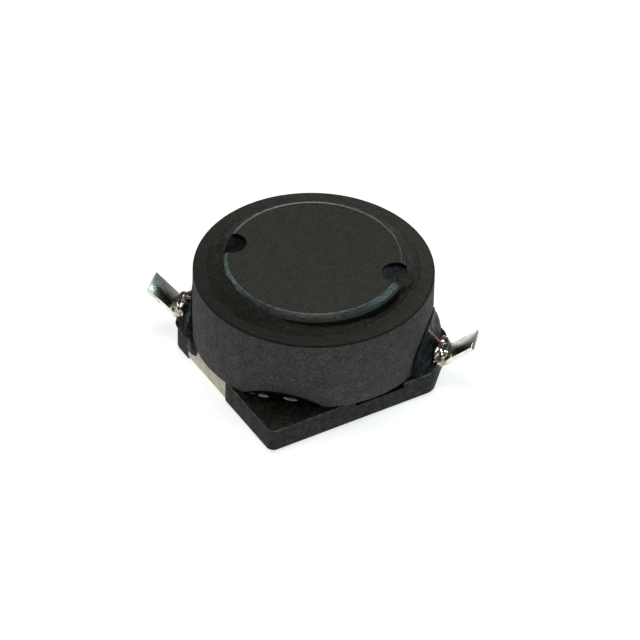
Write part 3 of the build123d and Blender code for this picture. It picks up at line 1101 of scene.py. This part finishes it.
@dataclass
class Strip:
    """Folded tinned strip of one wing: pad, leg and lip, an arm, and the wing."""

    maker: Maker
    corner: Corner
    thickness: float = 0.25
    bend: float = 0.33
    leg_width: float = 3.7
    leg_shift: float = 0.55
    pad: float = 2.1
    lip: float = 0.75
    arm: float = 0.6
    wing_root: float = 0.24
    wing_width: float = 1.45
    wing_length: float = 2.02
    wing_rise: float = 42.5
    wing_bend: float = 0.3
    leg_reach: float = Base.ledge - 0.3

    def clip(self) -> bmesh.types.BMesh:
        """Pad, leg and lip, folded round the base's left side."""
        half = Base.half
        path = [Vector((out, self.leg_shift, up)) for out, up in (
            (self.pad - half, 0), (-half, 0), (-half, Base.top), (self.lip - half, Base.top))]
        return bent_strip(path, [self.bend, self.bend], Vector((0, self.leg_width, 0)), -self.thickness)

    @classmethod
    def arm_plate(cls, low: float, high: float) -> bmesh.types.BMesh:
        """Flat arm between the lip and the wing, as the hull of both its ends, between two heights."""
        inner = cls.lip - Base.half
        far = cls.leg_shift + cls.leg_width / 2
        ends = [Vector((x, y, 0)) for x in (inner - cls.arm, inner) for y in (far - cls.arm, far)]
        ends += [Corner.LEFT.point(out, side, 0) for out in (Base.ledge - cls.arm, Base.ledge)
                 for side in (-cls.wing_width / 2, cls.wing_width / 2)]
        bm = bmesh.new()
        for height in (low, high):
            for end in ends:
                bm.verts.new(end + Vector((0, 0, height)))
        hull = bmesh.ops.convex_hull(bm, input=bm.verts[:])
        bmesh.ops.delete(bm, geom=list(set(hull["geom_interior"] + hull["geom_unused"])), context="VERTS")
        bmesh.ops.dissolve_limit(bm, angle_limit=0.02, verts=bm.verts[:], edges=bm.edges[:])
        bmesh.ops.recalc_face_normals(bm, faces=bm.faces[:])
        return bm

    def wing(self) -> bmesh.types.BMesh:
        """Wing, folded up outside the base's corner."""
        rise = math.radians(self.wing_rise)
        shift = self.thickness / 2 * math.tan(rise / 2)
        fold, reach = Base.ledge + self.wing_root - shift, self.wing_length - shift
        path = [Corner.LEFT.point(out, 0, Base.top + up) for out, up in (
            (Base.ledge - self.arm, 0.0), (fold, 0.0),
            (fold + reach * math.cos(rise), reach * math.sin(rise)))]
        return bent_strip(path, [self.wing_bend * math.tan(rise / 2)], Corner.LEFT.across * self.wing_width,
                          -self.thickness, 8)

    def build(self) -> None:
        """Makes the strip."""
        arm = self.arm_plate(Base.top - self.thickness, Base.top)
        strip = combined(self.clip(), [arm, self.wing()], Cut.JOIN)
        turn = about_z(self.corner.value - Corner.LEFT.value, 3)
        bmesh.ops.rotate(strip, cent=(0, 0, 0), verts=strip.verts[:], matrix=turn)
        self.maker.piece(f"strip_{self.corner.label}", strip, TIN, [f"terminal_{self.corner.label}"],
                         also=[(LEG, Where(inside=self.leg_reach))])


LEADS = {
    Corner.LEFT: ((4.5, -0.4, 3.0), (5.2, 0.6, 3.0), (5.8, 1.05, 2.8), (6.12, 0.82, 2.7),
                  (6.37, 0.48, 2.42)),
    Corner.RIGHT: ((4.5, -1.9, 3.3), (5.1, -1.25, 3.4), (5.66, -0.75, 3.3), (5.96, -0.6, 3.28),
                   (6.26, -0.34, 2.62))}


@dataclass
class WireEnd:
    """Lead of one wing: out through the arch, down to the neck, and once round it.

    Attributes:
        maker: What makes a finished piece of it.
        corner: The wing's corner.
        approach: Its way to the neck: how far out along the corner's line, across it, and up.
        radius: Radius of the wire.
        neck: How far out it winds round the strip.
        neck_height: Middle height of the strip there.
        half_width: Half of the neck's width.
        half_thickness: Half of the strip's thickness.
        pitch: How far it moves out in its one turn.
        loop: That turn, across and up, as shares of the way to the wire's middle beside and on the strip.
    """

    maker: Maker
    corner: Corner
    approach: tuple[Place, ...]
    radius: float = 0.07
    neck: float = 6.56
    neck_height: float = Base.top - Strip.thickness / 2
    half_width: float = 0.62
    half_thickness: float = Strip.thickness / 2
    pitch: float = 0.16
    loop: tuple[Point, ...] = ((0.8, 1.3), (1.0, 1.0), (1.0, -1.0), (0.8, -1.3), (-0.8, -1.3),
                               (-1.0, -1.0), (-1.0, 1.0), (-0.8, 1.3))

    def route(self) -> list[Vector]:
        """Control points from inside the arch to the end of the turn round the neck."""
        place = self.corner.point
        points = [place(*where) for where in self.approach]
        points += [place(self.neck - 0.02, 0.04, 1.95), place(self.neck + 0.02, 0.1, 1.6)]
        side, up = self.half_width + self.radius * 0.8, self.half_thickness + self.radius * 0.8
        for step, (across, height) in enumerate(self.loop):
            out = self.neck + self.pitch * step / len(self.loop)
            points.append(place(out, side * across, self.neck_height + up * height))
        return points

    def build(self) -> None:
        """Makes the lead."""
        self.maker.piece(f"wire_{self.corner.label}", swept(self.route(), self.radius, "wire", 4), WIRE,
                         [f"lead_{self.corner.label}"], smooth=80.0)


@dataclass(frozen=True)
class Swelling:
    """Swelling of a lump of solder, or a hollow where its rise is negative."""

    toward: Place
    rise: float
    width: float

    def at(self, way: Vector) -> float:
        """How far it raises the lump in a direction."""
        return self.rise * math.exp(-((way - Vector(self.toward).normalized()).length / self.width) ** 2)


@dataclass
class Joint:
    """Lump of solder on the neck of one wing."""

    maker: Maker
    corner: Corner
    out: float = 6.61
    height: float = 1.46
    size: Place = (0.45, 0.9, 0.49)
    squareness: float = 2.5
    swellings: tuple[Swelling, ...] = (
        Swelling((-0.4, -0.45, 0.8), 0.14, 0.5), Swelling((0.0, 0.5, 0.9), 0.12, 0.45),
        Swelling((0.7, -0.3, 0.5), 0.1, 0.4), Swelling((0.2, -0.95, -0.1), 0.1, 0.45),
        Swelling((0.2, 0.05, 0.85), -0.16, 0.35), Swelling((0.1, -0.7, 0.5), -0.12, 0.3))
    uneven: float = 0.06
    uneven_grain: float = 2.5
    ridge: float = 0.015
    ridge_pitch: float = WireEnd.pitch
    seed: float = 3.0

    def build(self) -> None:
        """Makes the lump: a ball drawn out across the wing, with swellings, hollows and the wire's ridges."""
        bm = bmesh.new()
        bmesh.ops.create_icosphere(bm, subdivisions=6, radius=1.0)
        shift = Vector((self.seed, 0.0, 0.0))
        for vert in bm.verts:
            way = vert.co.normalized()
            swell = sum(swelling.at(way) for swelling in self.swellings)
            swell += self.uneven * noise.fractal(way * self.uneven_grain + shift, 1.0, 2.0, 2)
            bare = min(max(0.5 - way.z, 0.0), 1.0)
            swell += self.ridge * bare * math.cos(math.tau * way.x * self.size[0] / self.ridge_pitch)
            reach = sum(abs(value) ** self.squareness for value in way) ** (-1 / self.squareness)
            vert.co = Vector(way[i] * self.size[i] for i in range(3)) * (reach * (1 + swell))
        relaxed(bm)
        bmesh.ops.transform(bm, matrix=self.corner.frame(), verts=bm.verts[:])
        bmesh.ops.translate(bm, vec=self.corner.point(self.out, 0, self.height), verts=bm.verts[:])
        label = self.corner.label
        self.maker.piece(f"joint_{label}", bm, SOLDER, [f"solder_{label}"], smooth=180.0)


@dataclass(frozen=True)
class Level:
    """How the epoxy in the gap stands at one direction from the axis.

    Attributes:
        angle: Direction in degrees from +X.
        climb: How far it stands above the shield's rim at the core.
        spread: How far it is wiped over the shield's rim.
        full: One where the gap is filled to the rim, zero where it is left open.
    """

    angle: float
    climb: float
    spread: float
    full: float = 1.0

    def blend(self, other: "Level", share: float) -> "Level":
        """Level at a share of the way to another one."""
        pairs = zip((self.angle, self.climb, self.spread, self.full),
                    (other.angle, other.climb, other.spread, other.full))
        return Level(*(first + (second - first) * share for first, second in pairs))


@dataclass
class GapFill:
    """Epoxy round the core: a ring of it in the gap, wiped over the shield's rim, and a plug in each notch.

    Attributes:
        maker: What makes finished pieces of it.
        core: Radius of the core.
        bore: Radius of the shield's bore.
        rim: Height of the shield's top.
        wall: How far the core's bevel starts above the rim.
        bevel: Width and height of that bevel.
        underside: Height of the fill's underside.
        tuck: How far it reaches into the core.
        skin: Thickness of its edge where it lies on another piece.
        ripple: Height of the ripples on it.
        open_ripple: Height of the ripples where the gap is left open.
        open_level: Height of its surface over the rim where the gap is left open, at its middle.
        open_curve: How much higher it stands there at its sides.
        away: Shares of the way over it where its section has a point.
        plug_room: How far a plug bites into the notch's wall, and how far it stays short of the core's edge.
        plug_crust: How deep under its surface a plug is shaped.
        plug_climb: How far it climbs the wall, and how near to the wall it does.
        plug_hollow: How deep its middle is.
        mouth: How far out from the axis it has the finish of the ring.
        facets: Facets of the ring.
        levels: How the ring stands, in order round the axis.
    """

    maker: Maker
    core: float = Core.radius
    bore: float = Shield.bore
    rim: float = Shield.top
    wall: float = Core.bevel_foot - Shield.top
    bevel: tuple[float, float] = (Core.bevel_width, Core.bevel_height)
    underside: float = Core.top - Core.flange + 0.01
    tuck: float = 0.05
    skin: float = 0.015
    ripple: float = 0.014
    open_ripple: float = 0.02
    open_level: float = -0.2
    open_curve: float = 0.12
    away: tuple[float, ...] = (0.0, 0.05, 0.12, 0.22, 0.34, 0.48, 0.63, 0.8, 1.0)
    plug_room: tuple[float, float] = (0.02, 0.03)
    plug_crust: float = 0.15
    plug_climb: tuple[float, float] = (0.1, 0.12)
    plug_hollow: float = 0.04
    mouth: float = 4.46
    facets: int = 300
    levels: tuple[Level, ...] = (
        Level(20, 0.62, 0.3), Level(40, 0.6, 0.3), Level(58, 0.5, 0.3), Level(90, 0.55, 0.3),
        Level(118, 0.58, 0.32), Level(152, 0.585, 0.35), Level(195, 0.57, 0.35), Level(212, 0.46, 0.33),
        Level(228, 0.24, 0.3), Level(245, 0.14, 0.28), Level(268, 0.08, 0.2), Level(280, 0.05, 0.05, 0.3),
        Level(298, 0.03, 0.05, 0.0), Level(314, 0.34, 0.2), Level(324, 0.5, 0.3), Level(335, 0.6, 0.3))

    def level(self, angle: float) -> Level:
        """Level at any angle in degrees, eased between the two nearest ones."""
        last, first = self.levels[-1], self.levels[0]
        around = [replace(last, angle=last.angle - 360), *self.levels,
                  replace(first, angle=first.angle + 360)]
        for before, after in zip(around, around[1:]):
            if before.angle <= angle <= after.angle:
                return before.blend(after, eased((angle - before.angle) / (after.angle - before.angle)))
        raise ValueError(f"no level at {angle} degrees")

    def section(self, angle: float) -> list[Point]:
        """Radius and height of the ring's section at an angle, from its inner foot over its top."""
        level = self.level(angle % 360)
        way = Vector((math.cos(math.radians(angle)), math.sin(math.radians(angle)), 0.0))
        wave = noise.fractal(way * 6.0, 1.0, 2.0, 3)
        climb = level.climb * (1 + 0.05 * wave)
        foot = min(climb, self.wall)
        slope = self.bevel[1] / self.bevel[0]
        lap = min(max(climb - self.wall, 0.01), self.bevel[1]) / slope
        points = [(self.core - self.tuck, self.underside),
                  (self.core - lap - self.tuck, self.rim + climb - 0.08)]
        for share in (1.0, 0.6, 0.25):
            over = self.skin if share < 1.0 else 0.0
            points.append((self.core - lap * share, self.rim + foot + lap * share * slope + over))
        gap = self.bore - self.core
        reach = gap + level.spread * (1 + 0.25 * wave)
        for away in self.away:
            wrinkle = noise.fractal((way * (4 + away) + Vector((0.0, 0.0, 1.0))) * 1.6, 1.0, 2.0, 3)
            wet = foot * (1 - away) ** 1.4 + (self.skin + self.ripple * wrinkle) * (1 - away)
            dry = self.open_level + self.open_curve * (2 * away - 1) ** 4 + self.open_ripple * wrinkle
            radius = away * (gap - 0.005)
            height = self.rim + dry + (wet - dry) * level.full
            points.append((self.core + radius + (away * reach - radius) * level.full,
                           height - (0.004 if away == 1.0 else 0.0)))
        points.append((self.bore - 0.02, self.underside))
        return points

    def ring(self) -> bmesh.types.BMesh:
        """The ring of epoxy in the gap: turned plain, and then given its own section at each facet."""
        sections = [self.section(360 * facet / self.facets) for facet in range(self.facets)]
        bm = turned(sections[0], self.facets)
        for vert in bm.verts:
            spot = (vert.co.xy.length, vert.co.z)
            index = min(range(len(sections[0])), key=lambda i: math.dist(sections[0][i], spot))
            facet = round(math.atan2(vert.co.y, vert.co.x) / math.tau * self.facets) % self.facets
            radius, height = sections[facet][index]
            way = math.tau * facet / self.facets
            vert.co = (math.cos(way) * radius, math.sin(way) * radius, height)
        return bm

    def plug(self, corner: Corner, surface: float, tilt: float, mouth: float) -> bmesh.types.BMesh:
        """Plug of epoxy in one wire notch, hollow in the middle and climbing the notch's walls.

        Args:
            corner: The corner that the notch points to.
            surface: Height of its middle.
            tilt: How much higher it stands on its near side than on its far side.
            mouth: Its height at the notch's outer end.

        Returns:
            A new closed mesh.
        """
        bite, short = self.plug_room
        half, inner = Core.notch_half + bite, Core.notch_middle
        plug = rod(half, self.underside, surface, corner.point(inner, 0, 0), 64)
        slot = block((inner, -half, self.underside), (self.core - short, half, surface))
        bmesh.ops.transform(slot, matrix=corner.frame(), verts=slot.verts[:])
        paste = set_paste(combined(plug, [slot], Cut.JOIN), 0.045, 0.015, 1.6, 2, corner.value)
        climb, near_wall = self.plug_climb
        for vert in paste.verts:
            if vert.co.z < surface - self.plug_crust:
                continue
            out, side = vert.co.dot(corner.outward), vert.co.dot(corner.across)
            wall = half - math.hypot(side, min(out - inner, 0.0))
            lift = climb * math.exp(-max(wall, 0.0) / near_wall) - self.plug_hollow
            lift += tilt * (vert.co - corner.point(inner, 0, 0)).dot(Corner.NEAR.outward) / Core.notch_half
            vert.co.z += lift + (mouth - surface - lift) * eased((out - inner + 0.1) / 0.3)
        return paste

    def build(self) -> None:
        """Makes the ring and both plugs."""
        self.maker.piece("gap_fill", self.ring(), FILL, ["gap_adhesive"], smooth=50.0)
        for corner, surface, tilt, mouth, finish in ((Corner.LEFT, 5.83, 0.1, 5.8, PLUG),
                                                     (Corner.RIGHT, 5.86, 0.12, 5.69, PLUG_LIGHT)):
            plug = self.plug(corner, surface, tilt, mouth)
            outer = (FILL, lambda middle, normal, way=corner.outward: middle.dot(way) > self.mouth)
            self.maker.piece(f"notch_fill_{corner.label}", plug, finish, smooth=180.0, also=[outer])


@dataclass
class CornerEpoxy:
    """Epoxy at the foot of the shield: fills of the tall arches, beads in the low ones, runs over the arms.

    Attributes:
        maker: What makes finished pieces of it.
        face: How far out the face of an arch fill lies at its foot.
        face_foot: Height of that foot.
        face_slope: How far the face leans in for each millimetre up.
        slimming: Share that is left of what stands out past that face.
        bead_face: How far out the face of a bead lies.
        bead_slimming: Share that is left of what stands out past it.
        arm_lumps: Lumps of the run over the left arm, which covers the end of the leg too.
        short_lumps: Lumps of the run over the right arm, as if it were the left one.
        drops: Wet drops on the near bead, given a painted highlight colour.
    """

    maker: Maker
    face: float = 6.44
    face_foot: float = 1.3
    face_slope: float = 0.17
    slimming: float = 0.2
    bead_face: float = 5.5
    bead_slimming: float = 0.25
    arm_lumps: tuple[Lump, ...] = (
        Lump((-5.35, 2.45, 1.34), (0.42, 0.5, 0.11)), Lump((-5.68, 1.95, 1.05), (0.2, 0.5, 0.4)),
        Lump((-5.7, 2.3, 0.85), (0.15, 0.22, 0.3)), Lump((-5.67, 2.75, 1.22), (0.13, 0.5, 0.17)),
        Lump((-5.2, 3.35, 1.35), (0.62, 0.95, 0.1), -14.0))
    short_lumps: tuple[Lump, ...] = (Lump((-5.35, 2.5, 1.34), (0.42, 0.5, 0.11)),)
    drops: tuple[Lump, ...] = (
        Lump((-4.9, -2.76, 1.26), (0.14, 0.42, 0.11), 60.0),
        Lump((-4.6, -3.22, 1.4), (0.16, 0.36, 0.12), 54.0),
        Lump((-3.75, -4.2, 1.55), (0.15, 0.38, 0.11), 42.0))

    @staticmethod
    def drawn_in(paste: bmesh.types.BMesh, face: Callable[[float], float], share: float) -> bmesh.types.BMesh:
        """Draws in what stands out past a face.

        Args:
            paste: The mesh that is worked on.
            face: How far out the face lies at a height.
            share: Share that is left of what stands out.

        Returns:
            The same mesh.
        """
        for vert in paste.verts:
            out, limit = vert.co.xy.length, face(vert.co.z)
            if out > limit:
                vert.co.xy = vert.co.xy * ((limit + (out - limit) * share) / out)
        return paste

    def arch_fill(self, corner: Corner) -> None:
        """Fill of one tall arch, with its face drawn in towards a cone."""
        node = f"lead_adhesive_{corner.label}"
        paste = set_paste(cad_copy(node), 0.05, 0.03, 1.1, 5, corner.value, swell=0.015)
        paste = self.drawn_in(paste, lambda height: self.face - self.face_slope * (height - self.face_foot),
                              self.slimming)
        self.maker.piece(f"arch_fill_{corner.label}", paste, EPOXY, [node], smooth=180.0)

    def run(self, corner: Corner, lumps: Sequence[Lump]) -> None:
        """Epoxy that ran over one arm, given as lumps at the left corner."""
        paste = set_paste(together(lumps), 0.035, 0.035, 3.0, 3, corner.value * 0.1)
        turn = about_z(corner.value - Corner.LEFT.value)
        bmesh.ops.transform(paste, matrix=turn, verts=paste.verts[:])
        self.maker.piece(f"epoxy_run_{corner.label}", paste, RUN, smooth=180.0)

    def bead(self, corner: Corner, seed: float) -> None:
        """Bead in one low arch, set back under it."""
        node = f"corner_adhesive_{corner.label}"
        paste = set_paste(cad_copy(node), 0.045, 0.03, 1.4, 3, seed, swell=0.01)
        paste = self.drawn_in(paste, lambda height: self.bead_face, self.bead_slimming)
        self.maker.piece(f"bead_{corner.label}", paste, BEAD, [node], smooth=180.0)

    def build(self) -> None:
        """Makes all of them, and gives the film under the core its finish."""
        for corner, lumps in ((Corner.LEFT, self.arm_lumps), (Corner.RIGHT, self.short_lumps)):
            self.arch_fill(corner)
            self.run(corner, lumps)
        self.bead(Corner.NEAR, 2.0)
        self.bead(Corner.FAR, 5.0)
        # The drops carry a painted highlight colour.
        self.maker.piece("epoxy_drops", together(self.drops), WET_HIGHLIGHT, smooth=180.0)
        self.maker.dress("seat_adhesive", EPOXY)


# The camera and the studio


def direction(azimuth: float, elevation: float) -> Vector:
    """Direction given by its angle from +X and its rise, both in degrees."""
    azimuth, elevation = math.radians(azimuth), math.radians(elevation)
    return Vector((math.cos(azimuth) * math.cos(elevation), math.sin(azimuth) * math.cos(elevation),
                   math.sin(elevation)))


@dataclass(frozen=True)
class Camera:
    """The photograph's camera: a long lens, 40 degrees up, a little rolled.

    Attributes:
        azimuth: Side that it stands on, in degrees from +X.
        elevation: How far it stands up, in degrees.
        roll: How far it is rolled, in degrees.
        lens: Focal length in millimetres.
        distance: Distance from the point that it looks at, in metres.
        aim: That point, right and up in the picture from the middle of the part's foot, in millimetres.
    """

    azimuth: float = 238.38
    elevation: float = 40.02
    roll: float = 1.493
    lens: float = 346.6
    distance: float = 0.30818
    aim: Point = (0.4126, 1.5075)

    def build(self) -> None:
        """Makes the camera, and looks through it."""
        back, roll = direction(self.azimuth, self.elevation), math.radians(self.roll)
        level = direction(self.azimuth + 90, 0.0)
        upward = back.cross(level)
        right = level * math.cos(roll) + upward * math.sin(roll)
        above = upward * math.cos(roll) - level * math.sin(roll)
        data = bpy.data.cameras.new("camera")
        data.sensor_width = 36.0
        data.lens = self.lens
        data.clip_start, data.clip_end = 0.01, 20.0
        obj = bpy.data.objects.new("camera", data)
        bpy.context.scene.collection.objects.link(obj)
        target = (right * self.aim[0] + above * self.aim[1]) * MM
        turn = Matrix((right, above, back)).transposed().to_4x4()
        obj.matrix_world = Matrix.Translation(target + back * self.distance) @ turn
        bpy.context.scene.camera = obj


@dataclass(frozen=True)
class Softbox:
    """A round soft light that faces the part. Its distance and its size are in metres."""

    name: str
    azimuth: float
    elevation: float
    distance: float
    size: float
    radiance: float
    colour: Colour

    def build(self) -> None:
        """Makes the light. The camera doesn't see it."""
        toward = direction(self.azimuth, self.elevation)
        data = bpy.data.lights.new(self.name, "AREA")
        data.shape = "DISK"
        data.size = self.size
        data.color = self.colour
        data.energy = self.radiance * math.pi * math.pi * self.size * self.size / 4
        obj = bpy.data.objects.new(self.name, data)
        turn = toward.to_track_quat("Z", "Y").to_matrix().to_4x4()
        obj.matrix_world = Matrix.Translation(toward * self.distance) @ turn
        obj.visible_camera = False
        bpy.context.scene.collection.objects.link(obj)


COOL, PLAIN = (0.68, 0.96, 0.97), (1.0, 0.98, 0.95)


@dataclass(frozen=True)
class Studio:
    """Pale floor, soft lights and a pale surrounding.

    Attributes:
        bright_side: Side of the surrounding that is brightest, in degrees from +X.
        horizon: Brightness of the surrounding low down.
        sky: Brightness of it overhead.
        darkening: Where it begins to darken with height, and where that ends.
        brightening: The same from its dark side to its bright one.
        back_share: Share of that brightness on the dark side.
        front_share: Share of it on the bright side.
        floor: Half of the floor's width, in metres.
        grey: Tone of the floor.
        glow: Light that the floor gives by itself.
        lights: The soft lights.
    """

    bright_side: float = 238.4
    horizon: float = 0.6
    sky: float = 0.07
    darkening: Point = (0.03, 0.5)
    brightening: Point = (-0.4, 0.6)
    back_share: float = 0.4
    front_share: float = 1.6
    floor: float = 3.0
    grey: float = 0.75
    glow: float = 0.72
    lights: tuple[Softbox, ...] = (Softbox("box_top", 58.0, 80.0, 0.6, 0.36, 3.7, PLAIN),
                                   Softbox("box_left", 108.0, 36.0, 0.5, 0.16, 6.0, COOL),
                                   Softbox("box_right", -3.0, 45.0, 0.5, 0.14, 10.0, COOL))

    def surrounding(self) -> None:
        """Makes the surrounding: white to the camera, darker overhead and behind to the part."""
        world = bpy.data.worlds.new("studio")
        bpy.context.scene.world = world
        world.use_nodes = True
        nodes = Nodes(world.node_tree)
        way = nodes.add("TexCoord").outputs["Generated"]
        facing = nodes.along(way, direction(self.bright_side, 0.0))
        up = nodes.add("SeparateXYZ", {0: way}).outputs["Z"]
        shaded = nodes.math("MULTIPLY", nodes.ramp(up, *self.darkening, self.horizon, self.sky),
                            nodes.ramp(facing, *self.brightening, self.back_share, self.front_share))
        strength = nodes.math("MAXIMUM", nodes.add("LightPath").outputs["Is Camera Ray"], shaded)
        light = nodes.add("Background", {"Color": (1.0, 1.0, 1.0, 1.0), "Strength": strength})
        nodes.add("OutputWorld", {"Surface": light.outputs[0]})

    def ground(self) -> None:
        """Makes the floor."""
        bm = bmesh.new()
        bmesh.ops.create_grid(bm, x_segments=1, y_segments=1, size=self.floor)
        floor = as_object(bm, "floor")
        material = bpy.data.materials.new("floor")
        material.use_nodes = True
        nodes = Nodes(material.node_tree)
        paint = nodes.add("BsdfPrincipled", {
            "Base Color": (self.grey, self.grey, self.grey, 1.0), "Roughness": 0.9,
            "Specular IOR Level": 0.05, "Emission Color": (1.0, 1.0, 1.0, 1.0),
            "Emission Strength": self.glow})
        nodes.add("OutputMaterial", {"Surface": paint.outputs[0]})
        floor.data.materials.append(material)

    def build(self) -> None:
        """Makes the whole studio."""
        self.surrounding()
        self.ground()
        for light in self.lights:
            light.build()


def main() -> None:
    """Builds the camera, the studio and every piece."""
    logging.basicConfig(level=logging.INFO, format="%(name)s %(message)s")
    bpy.context.scene.view_settings.view_transform = "Standard"
    Camera().build()
    Studio().build()
    maker = Maker(Groups())
    for whole in (Shield(maker), Core(maker), Coil(maker), Base(maker)):
        whole.build()
    for corner in (Corner.LEFT, Corner.RIGHT):
        for piece in (Strip(maker, corner), WireEnd(maker, corner, LEADS[corner]), Joint(maker, corner)):
            piece.build()
    GapFill(maker).build()
    CornerEpoxy(maker).build()


if __name__ == "__main__":
    main()
